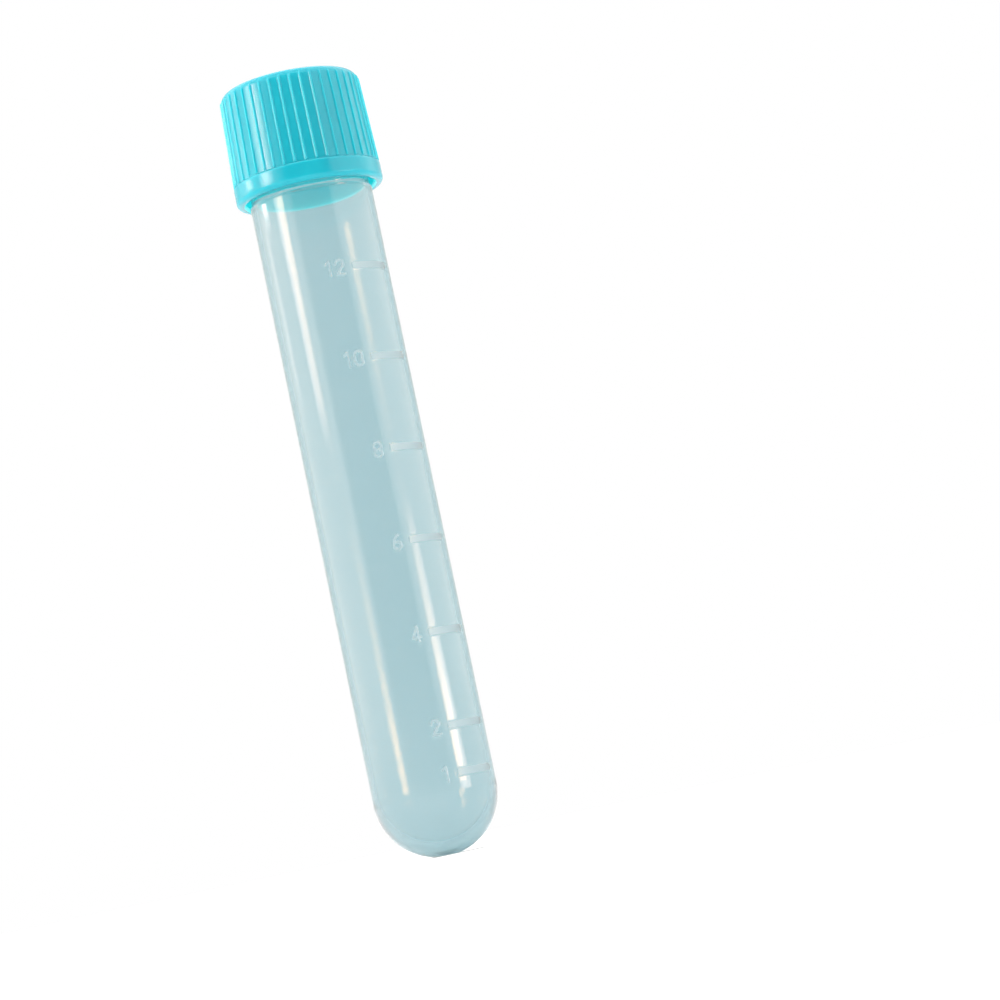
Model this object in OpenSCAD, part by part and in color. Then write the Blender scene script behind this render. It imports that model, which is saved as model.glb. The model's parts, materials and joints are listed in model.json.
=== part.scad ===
// Round-bottom graduated test tube with a two-start screw cap and a sealing liner.
// The tube stands on +Z, with the pole of its round bottom at the origin.

/* [Tube] */
// Outside diameter of the tube
tube_d = 16.0; // [15:0.1:18]
// Wall thickness of the tube
wall = 0.7; // [0.6:0.05:0.8]
// Length of the tube without its cap
tube_len = 100; // [90:1:130]
// Thickness of the bottom at its pole
floor_t = 1.45; // [1.1:0.05:2]
// Diameter of the flat gate mark at the pole
gate_d = 3.1; // [2:0.1:4]

/* [Neck thread] */
// Depth of the step from the body in to the neck
neck_step = 0.2; // [0.1:0.02:0.24]
// Height of the neck, from the shoulder to the mouth
neck_h = 13.3; // [12.8:0.1:13.6]
// Height that a thread ridge stands proud
ridge_h = 0.5; // [0.4:0.05:0.55]
// Rise of the thread in one turn
thread_lead = 5; // [4.8:0.1:5.2]
// Turns of each ridge on the neck
neck_turns = 1.25; // [1:0.05:1.3]
// Turns of each ridge in the cap
cap_turns = 1.4; // [1:0.05:1.4]

/* [Screw cap] */
// Wall of the cap between its ribs, at the top of the skirt
cap_wall = 0.67; // [0.6:0.01:0.9]
// Wall of the plain band at the bottom of the cap
band_wall = 1.29; // [1.2:0.01:1.6]
// Height of the cap
cap_h = 14.9; // [14.5:0.1:15.5]
// Height of the plain band
band_h = 2.6; // [2:0.1:3]
// Thickness of the cap's top
cap_top_t = 1.15; // [1:0.05:1.5]
// Number of grip ribs
rib_count = 42; // [30:1:46]
// Width of a grip rib
rib_w = 0.45; // [0.3:0.05:0.5]
// Height that a grip rib stands proud
rib_h = 0.2; // [0.12:0.02:0.24]
// Turn of the first rib about the axis
rib_phase = 6.3; // [0:0.1:8.5]

/* [Sealing liner] */
// Thickness of the liner disc
liner_t = 0.75; // [0.5:0.05:0.75]
// Gap between the liner and the parts above and below it
liner_gap = 0.05; // [0.02:0.01:0.1]

/* [Graduations] */
// Filled volumes that are marked, in millilitres
marks = [1, 2, 4, 6, 8, 10, 12];
// Height that the marks stand proud of the tube
mark_h = 0.1; // [0.06:0.02:0.14]
// Height of a graduation bar
bar_h = 1.0; // [0.6:0.1:1.2]
// Angle that a graduation bar spans
bar_span = 45; // [20:1:60]
// Angle of the bars' left end about the axis, 0 being +X
bar_start = -100; // [-180:1:180]
// Height of a numeral
digit_h = 2.2; // [1.8:0.1:2.6]

/* [Hidden] */
$fn = 96;

// Tube, inside and out
tube_r = tube_d / 2;
bore_r = tube_r - wall;
gate_r = gate_d / 2;
bowl_z = sqrt(tube_r * tube_r - gate_r * gate_r);
bore_bowl_z = floor_t + bore_r;
neck_r = tube_r - neck_step;
neck_z = tube_len - neck_h;
shoulder_h = 0.5;
lip_r = 0.2;
bowl_steps = 20;

// Cap, inside and out
thread_gap = 0.1;
cap_bore_r = neck_r + ridge_h + thread_gap;
cap_top_z = tube_len + liner_gap + liner_t + liner_gap + cap_top_t;
cap_z = cap_top_z - cap_h;
cap_ceiling_z = cap_top_z - cap_top_t;
cap_top_r = cap_bore_r + cap_wall + rib_h;
band_r = cap_bore_r + band_wall;
edge_r = 1.0;
lip_fillet = 0.65;
skirt_draft = 0.035;
mouth_chamfer = 0.35;
round_steps = 6;
rib_z = cap_z + band_h;
rib_top_gap = 0.75;

// Thread ridges, as trapezoids
ridge_base = 1.15;
ridge_tip = 0.45;
ridge_root = 0.2;
ridge_steps = 28;
ridge_ramp = 0.12;
thread_pitch = thread_lead / 2;
neck_thread_z = neck_z + 4.1;

// Numerals, as strokes on a body one unit wide and digit_h high
digit_w = 1.3;
digit_pitch = 1.5;
digit_gap = 1.0;
stroke = 0.4;
overlap = 0.02;

// Arc of radius r about [x, y], from angle a to angle b, as steps + 1 points
function arc(r, x, y, a, b, steps) =
    [for (i = [0:steps]) let (t = a + (b - a) * i / steps) [x + r * cos(t), y + r * sin(t)]];

// Height in the tube at which it holds a volume in millilitres
function fill_z(ml) =
    bore_bowl_z + (1000 * ml - 2 / 3 * PI * pow(bore_r, 3)) / (PI * pow(bore_r, 2));

// Section of a thread ridge at a share k of its full height, counter-clockwise in the
// radius-height plane, from a root radius to a crest radius on either side of it
function ridge_section(root_r, crest_r, k) =
    let (r = root_r + (crest_r - root_r) * k,
         pts = [[root_r, -ridge_base / 2], [r, -ridge_tip / 2], [r, ridge_tip / 2], [root_r, ridge_base / 2]])
    crest_r > root_r ? pts : [pts[3], pts[2], pts[1], pts[0]];

// Share of the full ridge height at a share t of its length: blunt ramps at both ends
function ridge_share(t) = min(1, 0.55 + 0.45 * min(t, 1 - t) / ridge_ramp);

// One right-hand helical ridge that starts at height z and at an angle
module thread_ridge(root_r, crest_r, z, angle, turns) {
    n = ceil(turns * ridge_steps);
    points = [for (i = [0:n]) let (t = i / n, a = angle + 360 * turns * t)
        each [for (p = ridge_section(root_r, crest_r, ridge_share(t)))
            [p[0] * cos(a), p[0] * sin(a), z + thread_lead * turns * t + p[1]]]];
    sides = [for (i = [0:n - 1], k = [0:3]) let (m = 4 * i, j = (k + 1) % 4)
        each [[m + k, m + j, m + 4 + j], [m + k, m + 4 + j, m + 4 + k]]];
    ends = [[3, 2, 1], [3, 1, 0], [4 * n, 4 * n + 1, 4 * n + 2], [4 * n, 4 * n + 2, 4 * n + 3]];
    polyhedron(points = points, faces = concat(sides, ends));
}

// Both starts of a thread, half a turn apart
module two_start_thread(root_r, crest_r, z, turns) {
    for (angle = [0, 180])
        thread_ridge(root_r, crest_r, z, angle, turns);
}

// Straight stroke between two points of a numeral
module line_stroke(p, q) {
    d = q - p;
    translate(p)
        rotate(atan2(d[1], d[0]))
            translate([0, -stroke / 2])
                square([norm(d), stroke]);
}

// Curved stroke of a numeral: part of a ring, from angle a to angle b
module arc_stroke(r, x, y, a, b) {
    steps = max(4, ceil((b - a) / 15));
    polygon(concat(arc(r + stroke / 2, x, y, a, b, steps), arc(r - stroke / 2, x, y, b, a, steps)));
}

// Closed ring of a numeral
module ring_stroke(r, x, y) {
    translate([x, y])
        difference() {
            circle(r = r + stroke / 2, $fn = 32);
            circle(r = r - stroke / 2, $fn = 32);
        }
}

// One numeral, drawn upright and centred
module digit(n) {
    top = digit_h / 2 - stroke / 2;
    side = digit_w / 2 - stroke / 2;
    waist = top - 2 * side;
    if (n == 0) {
        arc_stroke(side, 0, top - side, 0, 180);
        arc_stroke(side, 0, side - top, 180, 360);
        for (x = [-side, side])
            line_stroke([x, side - top - overlap], [x, top - side + overlap]);
    }
    if (n == 1) {
        line_stroke([0.2, -digit_h / 2], [0.2, digit_h / 2]);
        line_stroke([-0.3, top - 0.35], [0.25, top + 0.05]);
    }
    if (n == 2) {
        arc_stroke(side, 0, top - side, -35, 180);
        line_stroke([side * cos(35) + 0.08, top - side - side * sin(35) + 0.12], [-side - 0.1, -top]);
        line_stroke([-digit_w / 2, -top], [digit_w / 2, -top]);
    }
    if (n == 4) {
        line_stroke([0.2, -digit_h / 2], [0.2, digit_h / 2]);
        line_stroke([0.12, top + 0.1], [-side - 0.1, waist - 0.1]);
        line_stroke([-digit_w / 2, waist - 0.2], [digit_w / 2, waist - 0.2]);
    }
    if (n == 6) {
        ring_stroke(side, 0, side - top);
        arc_stroke(3 * side, 2 * side, side - top, 118, 181);
    }
    if (n == 8) {
        ring_stroke(side, 0, side - top);
        ring_stroke(side, 0, top - side);
    }
}

// Digits of a number, right-aligned at x = 0
module number(n) {
    translate([-digit_w / 2, 0])
        digit(n % 10);
    if (n >= 10)
        translate([-digit_w / 2 - digit_pitch, 0])
            digit(floor(n / 10));
}

// One graduation: a raised bar, and its number to the left of it
module graduation(ml) {
    z = fill_z(ml);
    rotate(bar_start)
        rotate_extrude(angle = bar_span)
            translate([tube_r - wall / 2, z - bar_h / 2])
                square([wall / 2 + mark_h, bar_h]);
    // The numbers are cut from a thin shell, facing out along the middle of the last digit
    turn = bar_start - (digit_gap + digit_w / 2) / tube_r * 180 / PI;
    intersection() {
        difference() {
            translate([0, 0, z - digit_h])
                cylinder(r = tube_r + mark_h, h = 2 * digit_h);
            translate([0, 0, z - digit_h - 1])
                cylinder(r = tube_r - wall / 2, h = 2 * digit_h + 2);
        }
        rotate(turn)
            translate([tube_r - 1.5, digit_w / 2, z])
                rotate([90, 0, 90])
                    linear_extrude(height = 3)
                        number(ml);
    }
}

// Wall of the tube: round bottom with a flat gate mark, straight body, shoulder and neck
module tube_wall() {
    gate_angle = asin(gate_r / tube_r) - 90;
    rotate_extrude()
        polygon(concat(
            [[0, 0]],
            arc(tube_r, 0, bowl_z, gate_angle, 0, bowl_steps),
            [[tube_r, neck_z], [neck_r, neck_z + shoulder_h], [neck_r, tube_len - lip_r]],
            [[neck_r - lip_r, tube_len], [bore_r, tube_len]],
            arc(bore_r, 0, bore_bowl_z, 0, -90, bowl_steps)));
}

module tube() {
    color("powderblue") {
        tube_wall();
        two_start_thread(neck_r - ridge_root, neck_r + ridge_h, neck_thread_z, neck_turns);
        for (ml = marks)
            if (fill_z(ml) < neck_z - digit_h)
                graduation(ml);
    }
}

// Outside radius of the cap's skirt at a height, over the ribs
function skirt_r(z) = cap_top_r + skirt_draft * (cap_top_z - edge_r - z);

// Solid of revolution inside the cap's outside, with the skirt taken in by an inset
module cap_solid(inset) {
    rotate_extrude()
        polygon(concat(
            [[0, cap_z], [band_r - lip_fillet, cap_z]],
            arc(lip_fillet, band_r - lip_fillet, cap_z + lip_fillet, -90, 0, round_steps),
            [[band_r, rib_z - rib_h], [skirt_r(rib_z) - inset, rib_z]],
            arc(edge_r, cap_top_r - inset - edge_r, cap_top_z - edge_r, 0, 90, round_steps),
            [[0, cap_top_z]]));
}

module grip_ribs() {
    intersection() {
        cap_solid(0);
        for (i = [0:rib_count - 1])
            rotate(rib_phase + i * 360 / rib_count)
                translate([cap_bore_r + 0.2, -rib_w / 2, rib_z - rib_h])
                    cube([2, rib_w, cap_top_z - rib_top_gap - rib_z + rib_h]);
    }
}

module screw_cap() {
    color("darkturquoise") {
        difference() {
            cap_solid(rib_h);
            translate([0, 0, cap_z - 1])
                cylinder(r = cap_bore_r, h = cap_ceiling_z - cap_z + 1);
            translate([0, 0, cap_z - 0.01])
                cylinder(r1 = cap_bore_r + mouth_chamfer, r2 = cap_bore_r, h = mouth_chamfer);
        }
        grip_ribs();
        // Half a pitch below the neck's ridges, so that the two threads are in mesh
        two_start_thread(cap_bore_r + ridge_root, cap_bore_r - ridge_h, neck_thread_z - thread_pitch / 2,
                         cap_turns);
    }
}

// Disc that seals the tube's mouth against the cap's ceiling
module sealing_liner() {
    color("whitesmoke")
        translate([0, 0, tube_len + liner_gap])
            cylinder(r = cap_bore_r - thread_gap, h = liner_t);
}

tube();
screw_cap();
sealing_liner();
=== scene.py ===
"""A 12 mL polypropylene test tube with a teal screw cap: its looks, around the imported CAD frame."""

import json
import math

import bpy
import numpy as np
from mathutils import Matrix, Vector


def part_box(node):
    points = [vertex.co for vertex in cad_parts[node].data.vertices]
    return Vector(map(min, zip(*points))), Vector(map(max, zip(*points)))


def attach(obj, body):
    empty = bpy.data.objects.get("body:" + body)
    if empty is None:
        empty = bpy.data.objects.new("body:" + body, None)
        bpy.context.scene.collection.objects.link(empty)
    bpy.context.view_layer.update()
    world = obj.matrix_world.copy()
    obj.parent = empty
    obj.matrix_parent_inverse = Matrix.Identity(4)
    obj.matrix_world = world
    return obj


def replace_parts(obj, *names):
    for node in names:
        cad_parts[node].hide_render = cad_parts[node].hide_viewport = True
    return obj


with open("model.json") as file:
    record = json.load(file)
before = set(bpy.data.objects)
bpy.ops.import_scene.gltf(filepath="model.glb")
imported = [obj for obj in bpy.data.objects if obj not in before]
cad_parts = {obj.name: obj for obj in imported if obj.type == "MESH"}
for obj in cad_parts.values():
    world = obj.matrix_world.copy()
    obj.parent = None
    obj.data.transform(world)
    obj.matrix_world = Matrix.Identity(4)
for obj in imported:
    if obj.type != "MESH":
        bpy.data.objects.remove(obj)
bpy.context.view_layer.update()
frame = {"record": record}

MM = 0.001
RECORD = frame["record"]
MOUNTS = {m["name"]: m for m in RECORD["mounts"]}

# Tube, from the frame
TUBE_R = MOUNTS["rack_fit"]["dims"]["r_mm"] * MM
BORE_R = MOUNTS["tube_mouth"]["dims"]["r_mm"] * MM
TUBE_LOW, TUBE_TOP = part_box("tube")
MOUTH_Z = TUBE_TOP.z
GATE_R = 1.55 * MM
FLOOR_T = 1.45 * MM
BOWL_Z = math.sqrt(TUBE_R**2 - GATE_R**2)
BORE_BOWL_Z = FLOOR_T + BORE_R
NECK_R = TUBE_R - 0.2 * MM
NECK_Z = MOUTH_Z - 13.3 * MM
SHOULDER_H = 0.5 * MM
LIP_R = 0.2 * MM
# The soft bead at the top of the full-width wall: height from the neck's foot and relief, in mm
BEAD = ((-0.42, 0), (-0.34, 0.015), (-0.24, 0.04), (-0.14, 0.05), (-0.06, 0.035), (0, 0))

# Thread, shared by the neck and the cap
LEAD = 5.0 * MM
RIDGE_H = 0.5 * MM
RIDGE_BASE = 1.15 * MM
RIDGE_TIP = 0.45 * MM
RIDGE_ROUND = 0.06 * MM
# Where a ridge fades at its ends, as a share of its length
RUN_OUT = (-0.015, 0.05)
NECK_TURNS = 1.25
CAP_TURNS = 1.4
NECK_THREAD_Z = NECK_Z + 4.1 * MM
CAP_THREAD_Z = NECK_THREAD_Z - LEAD / 4

# Screw cap: its outside size from the frame
CAP_LOW, CAP_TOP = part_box("screw_cap")
CAP_Z, CAP_TOP_Z = CAP_LOW.z, CAP_TOP.z
BAND_R = (CAP_TOP.x - CAP_LOW.x) / 2
CAP_BORE_R = NECK_R + RIDGE_H + 0.1 * MM
CEILING_Z = CAP_TOP_Z - 1.15 * MM
RIB_H = 0.2 * MM
RIB_W = 0.4 * MM
RIB_COUNT = 42
RIB_PITCH = 2 * math.pi / RIB_COUNT
RIB_PHASE = math.radians(6.3)
# Mesh columns about each rib's middle, in mm
RIB_COLUMNS = (-0.45, -0.24, -0.2, -0.15, -0.09, -0.03, 0.03, 0.09, 0.15, 0.2, 0.24, 0.45)
RIB_Z = CAP_Z + 2.6 * MM
RIB_TOP_Z = CAP_TOP_Z - 0.75 * MM
CAP_TOP_R = CAP_BORE_R + 0.67 * MM + RIB_H
DRAFT = 0.035
EDGE_R = 1.0 * MM
BAND_FILLET = 0.65 * MM
DIMPLE_R = 1.0 * MM
DIMPLE_DEPTH = 0.12 * MM

# Graduations
MARK_H = 0.04 * MM
MARK_SOFTNESS = 0.07 * MM
BAR_H = 1.0 * MM
BAR_CORNER = 0.15 * MM
BAR_START = math.radians(-100)
BAR_SPAN = math.radians(45)
DIGIT_H = 2.2 * MM
DIGIT_W = 1.3 * MM
DIGIT_PITCH = 1.5 * MM
DIGIT_GAP = 1.0 * MM
STROKE = 0.34 * MM
MARKS_ML = (1, 2, 4, 6, 8, 10, 12)
# Mesh columns about each end of a bar, in mm
BAR_END_COLUMNS = (-0.12, -0.06, 0, 0.06, 0.12, 0.2)


# ---------------------------------------------------------------- geometry helpers

def smooth(low, high, x):
    """0 below low, 1 above high, with a smooth turn between them."""
    t = np.clip((np.asarray(x, float) - low) / (high - low), 0, 1)
    return t * t * (3 - 2 * t)


def arc(radius, x, y, start, end, steps):
    """Points on an arc about (x, y), from one angle to another in degrees."""
    return [
        (x + radius * math.cos(math.radians(a)), y + radius * math.sin(math.radians(a)))
        for a in np.linspace(start, end, steps + 1)
    ]


def segment_distance(u, v, p, q):
    """Distance from each point (u, v) to the segment from p to q."""
    dx, dy = q[0] - p[0], q[1] - p[1]
    t = np.clip(((u - p[0]) * dx + (v - p[1]) * dy) / (dx * dx + dy * dy), 0, 1)
    return np.hypot(u - p[0] - t * dx, v - p[1] - t * dy)


def spaced(low, high, step):
    """Evenly spaced values from low to high, at most step apart."""
    return np.linspace(low, high, max(2, math.ceil((high - low) / step) + 1))


def merged(values, least):
    """Sorted values, without those closer than least to the one before."""
    kept = []
    for value in sorted(values):
        if not kept or value - kept[-1] > least:
            kept.append(value)
    return np.array(kept)


def revolve(name, angles, rings):
    """A closed shell from pole to pole. A ring is (radii, heights), each a number or one per angle."""
    count = len(angles)
    cos, sin = np.cos(angles), np.sin(angles)
    points = [[(0.0, 0.0, float(np.mean(rings[0][1])))]]
    for radii, heights in rings[1:-1]:
        heights = np.broadcast_to(heights, count)
        points.append(np.stack([radii * cos, radii * sin, heights], 1))
    points.append([(0.0, 0.0, float(np.mean(rings[-1][1])))])
    verts = np.concatenate(points)
    along = np.arange(count)
    following = (along + 1) % count
    faces = [np.stack([np.zeros(count, int), following + 1, along + 1], 1)]
    inner = len(rings) - 2
    quads = []
    for ring in range(inner - 1):
        low, high = 1 + ring * count, 1 + (ring + 1) * count
        quads.append(np.stack([low + along, low + following, high + following, high + along], 1))
    last, pole = 1 + (inner - 1) * count, len(verts) - 1
    faces.append(np.stack([last + along, last + following, np.full(count, pole)], 1))
    mesh = bpy.data.meshes.new(name)
    polygons = np.concatenate(faces).tolist() + np.concatenate(quads).tolist()
    mesh.from_pydata(verts.tolist(), [], polygons)
    mesh.validate()
    mesh.polygons.foreach_set("use_smooth", np.ones(len(mesh.polygons), bool))
    piece = bpy.data.objects.new(name, mesh)
    bpy.context.scene.collection.objects.link(piece)
    return piece


def helical_ridge(angles, height, root_z, turns):
    """How far a two-start thread stands out at each angle, at one height, as a share of its full height."""
    share = np.zeros_like(angles)
    for start in (0.0, math.pi):
        for wrap in range(-1, 3):
            turned = (angles - start) % (2 * math.pi) + 2 * math.pi * wrap
            along = turned / (2 * math.pi * turns)
            off = np.abs(height - root_z - LEAD * turned / (2 * math.pi))
            flank = 1 - smooth(RIDGE_TIP / 2 - RIDGE_ROUND, RIDGE_BASE / 2, off)
            ends = smooth(*RUN_OUT, along) * smooth(*RUN_OUT, 1 - along)
            share = np.maximum(share, flank * ends)
    return share


# ---------------------------------------------------------------- numerals

def digit_lines(n):
    """Centre lines of one numeral, upright and centred, as lists of points."""
    top = DIGIT_H / 2 - STROKE / 2
    side = DIGIT_W / 2 - STROKE / 2
    upper, lower = top - side, side - top
    if n == 0:
        ring = arc(side, 0, upper, 0, 180, 12) + arc(side, 0, lower, 180, 360, 12)
        return [ring + ring[:1]]
    if n == 1:
        return [[(-0.25 * MM, top - 0.32 * MM), (0.2 * MM, top), (0.2 * MM, -top)]]
    if n == 2:
        return [arc(side, 0, upper, 170, -35, 14) + [(-side, -top), (side, -top)]]
    if n == 4:
        waist = -0.4 * MM
        return [[(0.2 * MM, -top), (0.2 * MM, top), (-side, waist), (side, waist)]]
    if n == 6:
        return [arc(side, 0, lower, 0, 360, 24), arc(3 * side, 2 * side, lower, 180, 118, 10)]
    return [arc(side, 0, lower, 0, 360, 24), arc(side, 0, upper, 0, 360, 24)]


def number_lines(n):
    """Centre lines of a whole number, right-aligned at u = 0."""
    lines = []
    for place, digit in enumerate(reversed(str(n))):
        shift = -DIGIT_W / 2 - place * DIGIT_PITCH
        lines += [[(x + shift, y) for x, y in line] for line in digit_lines(int(digit))]
    return lines


def fill_z(ml):
    """Height in the tube at which it holds a volume."""
    bowl = 2 / 3 * math.pi * BORE_R**3
    return BORE_BOWL_Z + (ml * 1e-6 - bowl) / (math.pi * BORE_R**2)


def mark_share(angles, height):
    """How far the graduations stand out at each angle, at one height, as a share of their height."""
    share = np.zeros_like(angles)
    for ml in MARKS_ML:
        v = height - fill_z(ml)
        if abs(v) > DIGIT_H / 2 + 2 * MARK_SOFTNESS:
            continue
        u = (angles - BAR_START) * TUBE_R
        reach = abs(v) - BAR_H / 2
        across = np.maximum(-u, u - BAR_SPAN * TUBE_R)
        round_in = np.maximum(across + BAR_CORNER, 0)
        off = np.hypot(round_in, max(reach + BAR_CORNER, 0)) - BAR_CORNER
        off = np.where(across > 0, off, np.maximum(off, reach))
        share = np.maximum(share, 1 - smooth(-MARK_SOFTNESS, MARK_SOFTNESS, off))
        u = u + DIGIT_GAP
        for line in number_lines(ml):
            for p, q in zip(line, line[1:]):
                off = segment_distance(u, v, p, q) - STROKE / 2
                share = np.maximum(share, 1 - smooth(-MARK_SOFTNESS, MARK_SOFTNESS, off))
    return share


# ---------------------------------------------------------------- pieces

def tube_angles():
    """Angles of the tube's mesh columns: fine across the numerals and at the bars' ends."""
    number_w = 2 * DIGIT_PITCH + DIGIT_GAP
    fine = spaced(BAR_START - (number_w + 0.1 * MM) / TUBE_R, BAR_START - 0.8 * DIGIT_GAP / TUBE_R,
                  0.075 * MM / TUBE_R)
    ends = [end + off * MM / TUBE_R for end in (BAR_START, BAR_START + BAR_SPAN) for off in BAR_END_COLUMNS]
    coarse = np.arange(-math.pi, math.pi, math.radians(2.5))
    keep = [a for a in coarse if not fine[0] - 0.02 < a < fine[-1] + 0.02]
    return merged([*fine, *ends, *keep], 0.003)


def tube_heights():
    """Heights of the outer wall's mesh rings: fine across each graduation."""
    heights = [*spaced(BOWL_Z, NECK_Z - 0.6 * MM, 1.6 * MM)]
    for ml in MARKS_ML:
        z = fill_z(ml)
        half = DIGIT_H / 2 + 0.1 * MM
        heights = [h for h in heights if abs(h - z) > half + 0.1 * MM]
        heights += [*spaced(z - half, z + half, 0.085 * MM)]
    return merged(heights, 0.03 * MM)


def make_tube():
    """The tube's moulding: outside from the gate mark up, over the mouth, and down the bore."""
    angles = tube_angles()
    gate_angle = math.degrees(math.asin(GATE_R / TUBE_R))
    rings = [(0, 0), (0.4 * GATE_R, 0), (0.8 * GATE_R, 0), (GATE_R - 0.06 * MM, 0), (GATE_R, 0.012 * MM)]
    rings += arc(TUBE_R, 0, BOWL_Z, -90 + gate_angle + 0.8, -1.5, 44)
    share = [np.zeros(len(angles))] * len(rings)
    for z in tube_heights():
        share.append(mark_share(angles, z))
        rings.append((TUBE_R + MARK_H * share[-1], z))
    for off, proud in BEAD:
        rings.append((TUBE_R + proud * MM, NECK_Z + off * MM))
    rings += [(NECK_R + 0.01 * MM, NECK_Z + SHOULDER_H), (NECK_R, NECK_Z + SHOULDER_H + 0.1 * MM)]
    for z in spaced(NECK_Z + 1.0 * MM, MOUTH_Z - 1.2 * MM, 0.11 * MM):
        rings.append((NECK_R + RIDGE_H * helical_ridge(angles, z, NECK_THREAD_Z, NECK_TURNS), z))
    rings += arc(LIP_R, NECK_R - LIP_R, MOUTH_Z - LIP_R, 0, 90, 4)
    rings += arc(LIP_R / 2, BORE_R + LIP_R / 2, MOUTH_Z - LIP_R / 2, 90, 180, 3)
    rings += [(BORE_R, z) for z in spaced(BORE_BOWL_Z, MOUTH_Z - 0.6 * MM, 2.0 * MM)[::-1]]
    rings += arc(BORE_R, 0, BORE_BOWL_Z, -1.5, -88, 44)
    rings.append((0, FLOOR_T))
    piece = revolve("tube_body", angles, rings)
    raised = np.concatenate([[0.0], *share[1:]])
    mark_faces(piece, raised)
    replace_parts(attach(piece, "tube"), "tube")
    return piece


def mark_faces(piece, raised):
    """Gives the faces on top of the graduations the second material slot."""
    high = set(np.nonzero(raised > 0.5)[0].tolist())
    for face in piece.data.polygons:
        if sum(v in high for v in face.vertices) >= 3:
            face.material_index = 1


def cap_angles():
    """Angles of the cap's mesh columns: fine across each rib."""
    return np.array([
        RIB_PHASE + i * RIB_PITCH + off * MM / CAP_TOP_R for i in range(RIB_COUNT) for off in RIB_COLUMNS
    ])


def rib_share(angles):
    """How far the ribs stand out at each angle, as a share of their height: narrow rounded ridges."""
    off = np.abs((angles - RIB_PHASE + RIB_PITCH / 2) % RIB_PITCH - RIB_PITCH / 2) * CAP_TOP_R
    return np.clip(1 - (off / (RIB_W / 2)) ** 2, 0, 1) ** 0.8


def make_cap():
    """The cap's moulding: from the ceiling down the threaded bore, and up over the band, skirt and top."""
    angles = cap_angles()
    ribs = RIB_H * rib_share(angles)
    rings = [(0, CEILING_Z)]
    rings += [(r, CEILING_Z) for r in (2.5 * MM, 5 * MM, CAP_BORE_R - 0.3 * MM)]
    rings += arc(0.25 * MM, CAP_BORE_R - 0.25 * MM, CEILING_Z - 0.25 * MM, 75, 0, 4)
    thread_low, thread_high = CAP_THREAD_Z - RIDGE_BASE, CAP_THREAD_Z + LEAD * CAP_TURNS + RIDGE_BASE
    rings += [(CAP_BORE_R, thread_high + 0.3 * MM)]
    for z in spaced(thread_low, thread_high, 0.12 * MM)[::-1]:
        rings.append((CAP_BORE_R - RIDGE_H * helical_ridge(angles, z, CAP_THREAD_Z, CAP_TURNS), z))
    rings += [(CAP_BORE_R, CAP_Z + 0.45 * MM), (CAP_BORE_R + 0.02 * MM, CAP_Z + 0.35 * MM)]
    rings += arc(0.12 * MM, CAP_BORE_R + 0.42 * MM, CAP_Z + 0.12 * MM, 225, 270, 3)
    rings += arc(BAND_FILLET, BAND_R - BAND_FILLET, CAP_Z + BAND_FILLET, -90, 0, 9)
    rings += [(BAND_R, CAP_Z + 1.1 * MM), (BAND_R, RIB_Z - 0.5 * MM)]
    rings += arc(0.2 * MM, BAND_R - 0.2 * MM, RIB_Z - 0.28 * MM, 0, 70, 4)

    def valley_r(z):
        return CAP_TOP_R - RIB_H + DRAFT * (CAP_TOP_Z - EDGE_R - z)

    skirt = [RIB_Z + off * MM for off in (0, 0.04, 0.1, 0.18, 0.3, 0.6)]
    skirt += [*spaced(RIB_Z + 1.2 * MM, CAP_TOP_Z - EDGE_R - 0.3 * MM, 1.6 * MM)]
    for z in skirt:
        rings.append((valley_r(z) + ribs * smooth(RIB_Z - 0.02 * MM, RIB_Z + 0.16 * MM, z), z))
    for r, z in arc(EDGE_R, CAP_TOP_R - RIB_H - EDGE_R, CAP_TOP_Z - EDGE_R, 0, 88, 14):
        fade = 1 - smooth(RIB_TOP_Z - 0.35 * MM, RIB_TOP_Z + 0.2 * MM, z)
        rings.append((r + ribs * fade, z))
    rings += [(r, CAP_TOP_Z) for r in (6 * MM, 3 * MM, DIMPLE_R + 0.25 * MM)]
    rings += [(DIMPLE_R + 0.1 * MM, CAP_TOP_Z - 0.01 * MM), (DIMPLE_R, CAP_TOP_Z - DIMPLE_DEPTH)]
    rings += [(0.5 * DIMPLE_R, CAP_TOP_Z - DIMPLE_DEPTH), (0, CAP_TOP_Z - DIMPLE_DEPTH)]
    piece = revolve("cap_shell", angles, rings)
    # The faces inside the skirt and under the ceiling take the second slot: the lighter teal with painted
    # glow.
    inside_r, inside_top = CAP_BORE_R + 0.2 * MM, CAP_TOP_Z - 0.5 * MM
    for face in piece.data.polygons:
        if face.center.xy.length < inside_r and face.center.z < inside_top:
            face.material_index = 1
    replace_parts(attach(piece, "cap"), "screw_cap")
    return piece


def make_liner():
    """The sealing disc, with rounded edges."""
    low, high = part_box("sealing_liner")
    radius, edge = (high.x - low.x) / 2, 0.12 * MM
    angles = np.linspace(0, 2 * math.pi, 129)[:-1]
    rings = [(0, low.z), (radius / 3, low.z), (radius * 0.7, low.z)]
    rings += arc(edge, radius - edge, low.z + edge, -90, 0, 4)
    rings += arc(edge, radius - edge, high.z - edge, 0, 90, 4)
    rings += [(radius * 0.7, high.z), (radius / 3, high.z), (0, high.z)]
    piece = revolve("liner_disc", angles, rings)
    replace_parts(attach(piece, "liner"), "sealing_liner")
    return piece


# ---------------------------------------------------------------- materials

POLYPROPYLENE_IOR = 1.49
POLYETHYLENE_IOR = 1.52
NOISE_DETAIL = 3.0
NOISE_RANGE = (0.3, 0.7)
# How coarse the noises are, in features per metre
FINE_GRAIN = 2500
SATIN_GRAIN = 900
CLOUD_GRAIN = 180
FOAM_CELLS = 4000
FOAM_MOTTLE = 1500

def new_material(name):
    """A node material and its Principled shader."""
    mat = bpy.data.materials.new(name)
    mat.use_nodes = True
    return mat, mat.node_tree.nodes["Principled BSDF"]


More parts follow.
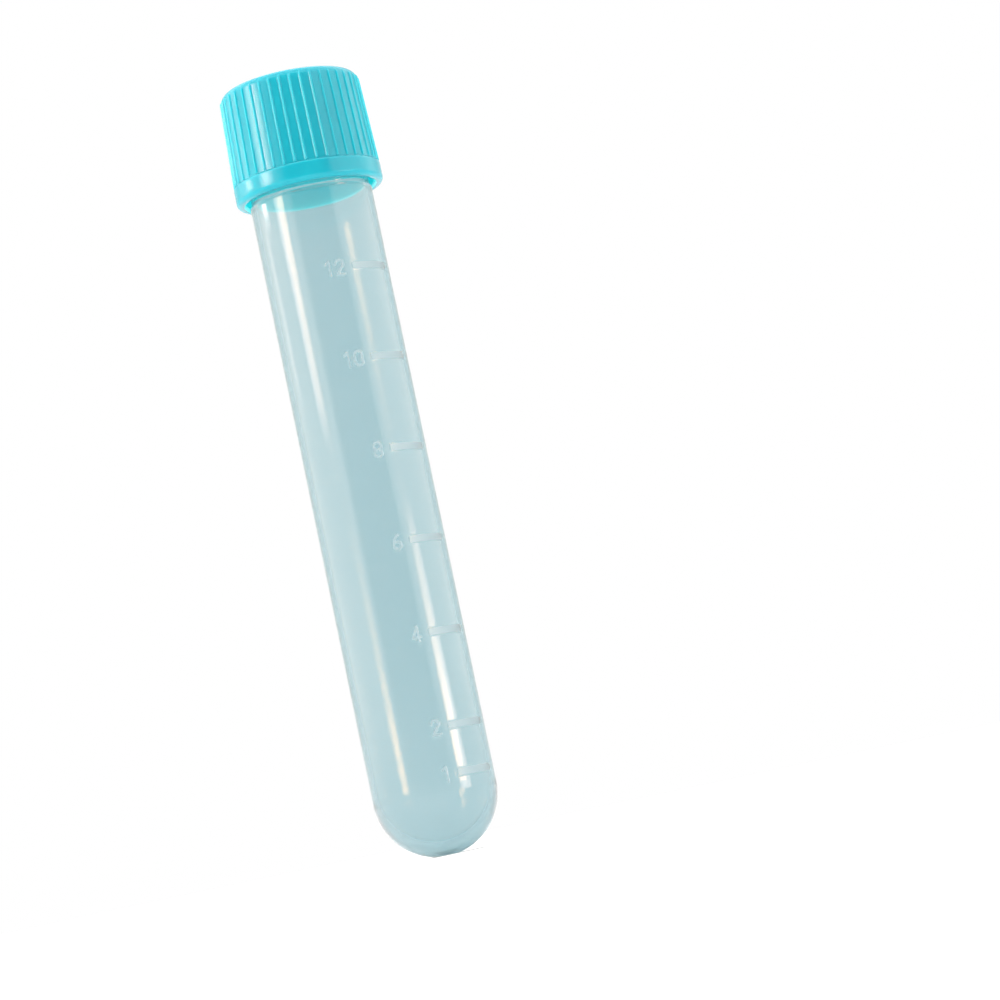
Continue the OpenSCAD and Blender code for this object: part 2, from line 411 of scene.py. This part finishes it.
def noise(mat, scale, stretch=(1, 1, 1)):
    """Noise in the object's own space. scale is in features per metre."""
    nodes, links = mat.node_tree.nodes, mat.node_tree.links
    coords = nodes.new("ShaderNodeTexCoord")
    mapping = nodes.new("ShaderNodeMapping")
    mapping.inputs["Scale"].default_value = stretch
    texture = nodes.new("ShaderNodeTexNoise")
    texture.inputs["Scale"].default_value = scale
    texture.inputs["Detail"].default_value = NOISE_DETAIL
    links.new(coords.outputs["Object"], mapping.inputs["Vector"])
    links.new(mapping.outputs["Vector"], texture.inputs["Vector"])
    return texture.outputs["Fac"]


def ranged(mat, value, low, high):
    """A noise value spread from low to high."""
    node = mat.node_tree.nodes.new("ShaderNodeMapRange")
    node.inputs["From Min"].default_value, node.inputs["From Max"].default_value = NOISE_RANGE
    node.inputs["To Min"].default_value = low
    node.inputs["To Max"].default_value = high
    mat.node_tree.links.new(value, node.inputs["Value"])
    return node.outputs["Result"]


def bump(mat, shader, value, depth):
    """Fine relief on a material, depth high."""
    node = mat.node_tree.nodes.new("ShaderNodeBump")
    node.inputs["Distance"].default_value = depth
    node.inputs["Strength"].default_value = 1.0
    mat.node_tree.links.new(value, node.inputs["Height"])
    mat.node_tree.links.new(node.outputs["Normal"], shader.inputs["Normal"])


def tint(mat, value, low, high):
    """A colour between low and high."""
    node = mat.node_tree.nodes.new("ShaderNodeMix")
    node.data_type = "RGBA"
    node.inputs["A"].default_value = (*low, 1)
    node.inputs["B"].default_value = (*high, 1)
    mat.node_tree.links.new(value, node.inputs["Factor"])
    return node.outputs["Result"]


def tube_plastic(name, colour, transmission, rough):
    """Clear, slightly milky plastic."""
    mat, shader = new_material(name)
    shader.inputs["Base Color"].default_value = (*colour, 1)
    shader.inputs["IOR"].default_value = POLYPROPYLENE_IOR
    shader.inputs["Transmission Weight"].default_value = transmission
    uneven = ranged(mat, noise(mat, FINE_GRAIN), rough * 0.85, rough * 1.15)
    mat.node_tree.links.new(uneven, shader.inputs["Roughness"])
    return mat


def cap_plastic(name, dark, light, glow=0.0):
    """Translucent plastic. glow is a painted glow: constant emission in the light colour, standing in for
    the light that would reach its inside through the wall.
    """
    mat, shader = new_material(name)
    shader.inputs["Emission Color"].default_value = (*light, 1)
    shader.inputs["Emission Strength"].default_value = glow
    links = mat.node_tree.links
    cloud = ranged(mat, noise(mat, CLOUD_GRAIN, stretch=(1, 1, 0.5)), 0, 1)
    links.new(tint(mat, cloud, dark, light), shader.inputs["Base Color"])
    links.new(ranged(mat, noise(mat, SATIN_GRAIN), 0.13, 0.18), shader.inputs["Roughness"])
    shader.inputs["IOR"].default_value = POLYETHYLENE_IOR
    shader.inputs["Specular IOR Level"].default_value = 0.3
    shader.inputs["Subsurface Weight"].default_value = 1.0
    shader.inputs["Subsurface Radius"].default_value = (0.4, 1.0, 1.0)
    shader.inputs["Subsurface Scale"].default_value = 2.0 * MM
    bump(mat, shader, noise(mat, FINE_GRAIN), 0.004 * MM)
    return mat


def liner_foam():
    """Matt white foam with fine cells."""
    mat, shader = new_material("white_foam")
    mottle = tint(mat, ranged(mat, noise(mat, FOAM_MOTTLE), 0, 1), (0.78, 0.79, 0.77), (0.9, 0.9, 0.89))
    mat.node_tree.links.new(mottle, shader.inputs["Base Color"])
    shader.inputs["Roughness"].default_value = 0.75
    bump(mat, shader, noise(mat, FOAM_CELLS), 0.03 * MM)
    return mat


# ---------------------------------------------------------------- stage, lights and camera

CAMERA_TURN = math.radians(-34.5)
CAMERA_DISTANCE = 0.3796
CAMERA_HEIGHT = 3 * MM
CAMERA_YAW = math.radians(2.395)
CAMERA_PITCH = math.radians(6.018)
CAMERA_ROLL = math.radians(-11.994)
CAMERA_LENS = 106.73
FLOOR_R = 0.6
FLOOR_COLOUR = (0.9, 0.9, 0.9)
STRIP_DISTANCE = 0.5
STRIP_COLOUR = (1.0, 0.70, 0.60)
CORE_COLOUR = (1.0, 0.82, 0.76)
WARM_COLOUR = (1.0, 0.51, 0.20)
SIDE_STEEPNESS = 4
END_STEEPNESS = 16

# Where the lights stand, as a turn from the camera's side
LEFT = math.radians(-64.5)
RIGHT = math.radians(61)
FAR_LEFT = math.radians(-110)
BAND_LEFT = math.radians(-100)
# name, turn, low, high, width, radiance, colour, taper
STRIPS = (
    ("left_strip", LEFT, 0.122, 0.35, 0.15, 5.5, STRIP_COLOUR, 0.0),
    ("left_strip_core", LEFT, 0.165, 0.35, 0.17, 19, CORE_COLOUR, 0.0),
    ("side_strip", FAR_LEFT, 0.13, 0.35, 0.1, 1.6, STRIP_COLOUR, 0.0),
    ("band_strip", BAND_LEFT, 0.193, 0.208, 0.12, 20, CORE_COLOUR, 0.0),
    ("right_strip", RIGHT, -0.01, 0.097, 0.26, 4.5, STRIP_COLOUR, 0.5),
    ("right_strip_core", RIGHT, -0.01, 0.058, 0.12, 22, CORE_COLOUR, 0.0),
)
# name, turn, low, high, width, and its strength at heights from its foot to its top
WARM_CARDS = (
    ("left_card", LEFT, 0.115, 0.35, 0.12, ((0.115, 0), (0.15, 3), (0.18, 6), (0.2, 11))),
    ("right_card", RIGHT, -0.02, 0.11, 0.12, ((-0.02, 14), (0.025, 12), (0.06, 4), (0.11, 0))),
)

# What gloss meets, by angle in degrees from the camera's side
CARDS = (
    (180, (0.90, 0.95, 0.92)),
    (140, (0.90, 0.95, 0.92)),
    (118, (2.5, 2.2, 2.0)),
    (47, (2.5, 2.2, 2.0)),
    (33, (0.15, 0.17, 0.18)),
)
CARDS_FULL_FROM = math.sin(math.radians(3))
# The light of the studio: below the cards, for matt surfaces, behind clear plastic, and overhead
HORIZON = (1.2, 1.2, 1.2)
ROUND_ABOUT = (0.95, 0.95, 0.95)
BACKDROP = (0.395, 0.655, 0.715)
OVERHEAD = (2.0, 2.0, 2.0)
OVERHEAD_FROM = (0.45, 0.8)


def at(turn, distance, height):
    """A point round the tube: turn is from the camera's side, positive to the camera's right."""
    a = CAMERA_TURN + turn
    return Vector((math.sin(a) * distance, -math.cos(a) * distance, height))


def make_camera():
    """The camera that was fitted to the photograph."""
    data = bpy.data.cameras.new("camera")
    data.sensor_width = 36
    data.lens = CAMERA_LENS
    data.clip_start, data.clip_end = 0.01, 20
    camera = bpy.data.objects.new("camera", data)
    bpy.context.scene.collection.objects.link(camera)
    camera.location = at(0, CAMERA_DISTANCE, CAMERA_HEIGHT)
    turn = Matrix.Rotation(CAMERA_TURN - CAMERA_YAW, 4, "Z")
    look = turn @ Matrix.Rotation(math.pi / 2 + CAMERA_PITCH, 4, "X")
    camera.matrix_world = Matrix.Translation(camera.location) @ look @ Matrix.Rotation(CAMERA_ROLL, 4, "Z")
    bpy.context.scene.camera = camera


def strip_light(name, turn, low, high, width, radiance, colour, taper):
    """An upright strip light facing the tube, with soft edges. taper narrows it towards its top.
    It lights and glints on surfaces, and does not show through clear plastic."""
    place = at(turn, STRIP_DISTANCE, (low + high) / 2)
    data = bpy.data.lights.new(name, "AREA")
    data.shape = "RECTANGLE"
    data.size, data.size_y = width, high - low
    data.energy = radiance * math.pi * width * (high - low)
    data.color = colour
    data.use_nodes = True
    strength = soft_edges(data.node_tree, taper)
    data.node_tree.links.new(strength, data.node_tree.nodes["Emission"].inputs["Strength"])
    light = bpy.data.objects.new(name, data)
    bpy.context.scene.collection.objects.link(light)
    light.location = place
    light.rotation_euler = Vector((-place.x, -place.y, 0)).to_track_quat("-Z", "Y").to_euler()
    light.visible_camera = False
    light.visible_transmission = False


def warm_card(name, turn, low, high, width, strengths):
    """An upright warm card that only shows through clear plastic. strengths pairs heights with how
    brightly it glows there, from its foot to its top."""
    mesh = bpy.data.meshes.new(name)
    mesh.from_pydata([(x * width / 2, 0, z) for z in (low, high) for x in (-1, 1)], [], [(0, 1, 3, 2)])
    card = bpy.data.objects.new(name, mesh)
    bpy.context.scene.collection.objects.link(card)
    card.location = at(turn, STRIP_DISTANCE, 0)
    card.rotation_euler.z = CAMERA_TURN + turn
    card.visible_camera = card.visible_diffuse = card.visible_glossy = card.visible_shadow = False
    mat, shader = new_material(name)
    mat.cycles.emission_sampling = "NONE"
    nodes, links = mat.node_tree.nodes, mat.node_tree.links
    coords = nodes.new("ShaderNodeTexCoord")
    split = nodes.new("ShaderNodeSeparateXYZ")
    links.new(coords.outputs["Generated"], split.inputs["Vector"])
    rise = nodes.new("ShaderNodeValToRGB")
    rise.color_ramp.interpolation = "EASE"
    stops = rise.color_ramp.elements
    while len(stops) < len(strengths):
        stops.new(0.5)
    for stop, (height, strength) in zip(stops, strengths):
        stop.position = (height - low) / (high - low)
        stop.color = [strength * c for c in WARM_COLOUR] + [1]
    links.new(split.outputs["Z"], rise.inputs["Fac"])
    glow = nodes.new("ShaderNodeEmission")
    links.new(rise.outputs["Color"], glow.inputs["Color"])
    both = nodes.new("ShaderNodeAddShader")
    links.new(glow.outputs["Emission"], both.inputs[0])
    links.new(nodes.new("ShaderNodeBsdfTransparent").outputs["BSDF"], both.inputs[1])
    links.new(both.outputs["Shader"], nodes["Material Output"].inputs["Surface"])
    nodes.remove(shader)
    mesh.materials.append(mat)


def soft_edges(tree, taper):
    """A light's strength over its face: 1, falling off softly at its edges."""
    nodes, links = tree.nodes, tree.links
    face = nodes.new("ShaderNodeNewGeometry")
    split = nodes.new("ShaderNodeSeparateXYZ")
    links.new(face.outputs["Parametric"], split.inputs["Vector"])

    def maths(operation, *values):
        node = nodes.new("ShaderNodeMath")
        node.operation = operation
        for socket, value in zip(node.inputs, values):
            if isinstance(value, (int, float)):
                socket.default_value = value
            else:
                links.new(value, socket)
        return node.outputs["Value"]

    across = maths("ABSOLUTE", maths("MULTIPLY_ADD", split.outputs["X"], 2, -1))
    allowed = maths("MULTIPLY_ADD", split.outputs["Y"], -taper, 1)
    sides = maths("MULTIPLY", maths("SUBTRACT", allowed, across), SIDE_STEEPNESS)
    ends = maths("MULTIPLY", maths("PINGPONG", split.outputs["Y"], 0.5), END_STEEPNESS)
    return maths("MULTIPLY", maths("MINIMUM", maths("MAXIMUM", sides, 0), 1), maths("MINIMUM", ends, 1))


def mixed(tree, factor, low, high):
    """A colour between low and high, each a colour or a node's output."""
    node = tree.nodes.new("ShaderNodeMix")
    node.data_type = "RGBA"
    for name, value in (("Factor", factor), ("A", low), ("B", high)):
        if isinstance(value, tuple):
            node.inputs[name].default_value = (*value, 1)
        else:
            tree.links.new(value, node.inputs[name])
    return node.outputs["Result"]


def make_world():
    """White where the camera sees it. Surfaces meet a soft studio with a wide softbox overhead, gloss
    meets bright warm cards at both sides, and clear plastic shows the backdrop's grey-blue behind it."""
    world = bpy.data.worlds.new("studio")
    bpy.context.scene.world = world
    world.use_nodes = True
    tree = world.node_tree
    nodes, links = tree.nodes, tree.links
    coords = nodes.new("ShaderNodeTexCoord")
    facing = nodes.new("ShaderNodeVectorMath")
    facing.operation = "DOT_PRODUCT"
    facing.inputs[1].default_value = at(0, 1, 0)
    links.new(coords.outputs["Generated"], facing.inputs[0])
    spread = nodes.new("ShaderNodeMapRange")
    spread.inputs["From Min"].default_value = -1
    links.new(facing.outputs["Value"], spread.inputs["Value"])
    cards = nodes.new("ShaderNodeValToRGB")
    cards.color_ramp.interpolation = "EASE"
    stops = cards.color_ramp.elements
    while len(stops) < len(CARDS):
        stops.new(0.5)
    for stop, (angle, colour) in zip(stops, CARDS):
        stop.position = (1 + math.cos(math.radians(angle))) / 2
        stop.color = (*colour, 1)
    links.new(spread.outputs["Result"], cards.inputs["Fac"])
    height = nodes.new("ShaderNodeSeparateXYZ")
    links.new(coords.outputs["Generated"], height.inputs["Vector"])
    above = nodes.new("ShaderNodeMapRange")
    above.interpolation_type = "SMOOTHSTEP"
    above.inputs["From Min"].default_value, above.inputs["From Max"].default_value = OVERHEAD_FROM
    links.new(height.outputs["Z"], above.inputs["Value"])
    path = nodes.new("ShaderNodeLightPath").outputs
    risen = nodes.new("ShaderNodeMapRange")
    risen.inputs["From Max"].default_value = CARDS_FULL_FROM
    links.new(height.outputs["Z"], risen.inputs["Value"])
    colour = mixed(tree, risen.outputs["Result"], HORIZON, cards.outputs["Color"])
    colour = mixed(tree, path["Is Glossy Ray"], ROUND_ABOUT, colour)
    colour = mixed(tree, above.outputs["Result"], colour, OVERHEAD)
    colour = mixed(tree, path["Is Transmission Ray"], colour, BACKDROP)
    colour = mixed(tree, path["Is Camera Ray"], colour, (1.0, 1.0, 1.0))
    links.new(colour, nodes["Background"].inputs["Color"])


def make_stage():
    """A white floor that, through clear plastic, shows as the backdrop."""
    mesh = bpy.data.meshes.new("floor")
    turns = np.linspace(0, 2 * math.pi, 97)[:-1]
    ring = [(FLOOR_R * math.cos(a), FLOOR_R * math.sin(a), 0) for a in turns]
    mesh.from_pydata(ring, [], [list(range(len(ring)))])
    floor = bpy.data.objects.new("floor", mesh)
    bpy.context.scene.collection.objects.link(floor)
    mat, shader = new_material("floor_white")
    shader.inputs["Base Color"].default_value = (*FLOOR_COLOUR, 1)
    shader.inputs["Specular IOR Level"].default_value = 0
    nodes, links = mat.node_tree.nodes, mat.node_tree.links
    backdrop = nodes.new("ShaderNodeEmission")
    backdrop.inputs["Color"].default_value = (*BACKDROP, 1)
    path = nodes.new("ShaderNodeLightPath")
    mix = nodes.new("ShaderNodeMixShader")
    links.new(path.outputs["Is Transmission Ray"], mix.inputs["Fac"])
    links.new(shader.outputs["BSDF"], mix.inputs[1])
    links.new(backdrop.outputs["Emission"], mix.inputs[2])
    links.new(mix.outputs["Shader"], nodes["Material Output"].inputs["Surface"])
    mesh.materials.append(mat)


def make_lights():
    """The strip lights, and the warm cards that stand in for them behind clear plastic."""
    for strip in STRIPS:
        strip_light(*strip)
    for card in WARM_CARDS:
        warm_card(*card)


# ---------------------------------------------------------------- the scene

tube = make_tube()
tube.data.materials.append(tube_plastic("clear_polypropylene", (0.92, 0.94, 0.945), 0.94, 0.08))
tube.data.materials.append(tube_plastic("frosted_polypropylene", (0.94, 0.958, 0.96), 0.89, 0.45))
cap = make_cap()
cap.data.materials.append(cap_plastic("teal_polyethylene", (0.008, 0.34, 0.42), (0.014, 0.38, 0.46)))
# The cap's inside: a lit copy of the teal, much lighter than the outside and with a painted glow, standing
# in for light passing through the thin wall.
cap.data.materials.append(cap_plastic("teal_inside_painted_glow", (0.03, 0.80, 0.88), (0.04, 0.84, 0.92), glow=0.22))
liner = make_liner()
liner.data.materials.append(liner_foam())
make_camera()
make_stage()
make_world()
make_lights()
bpy.context.scene.view_settings.view_transform = "Standard"
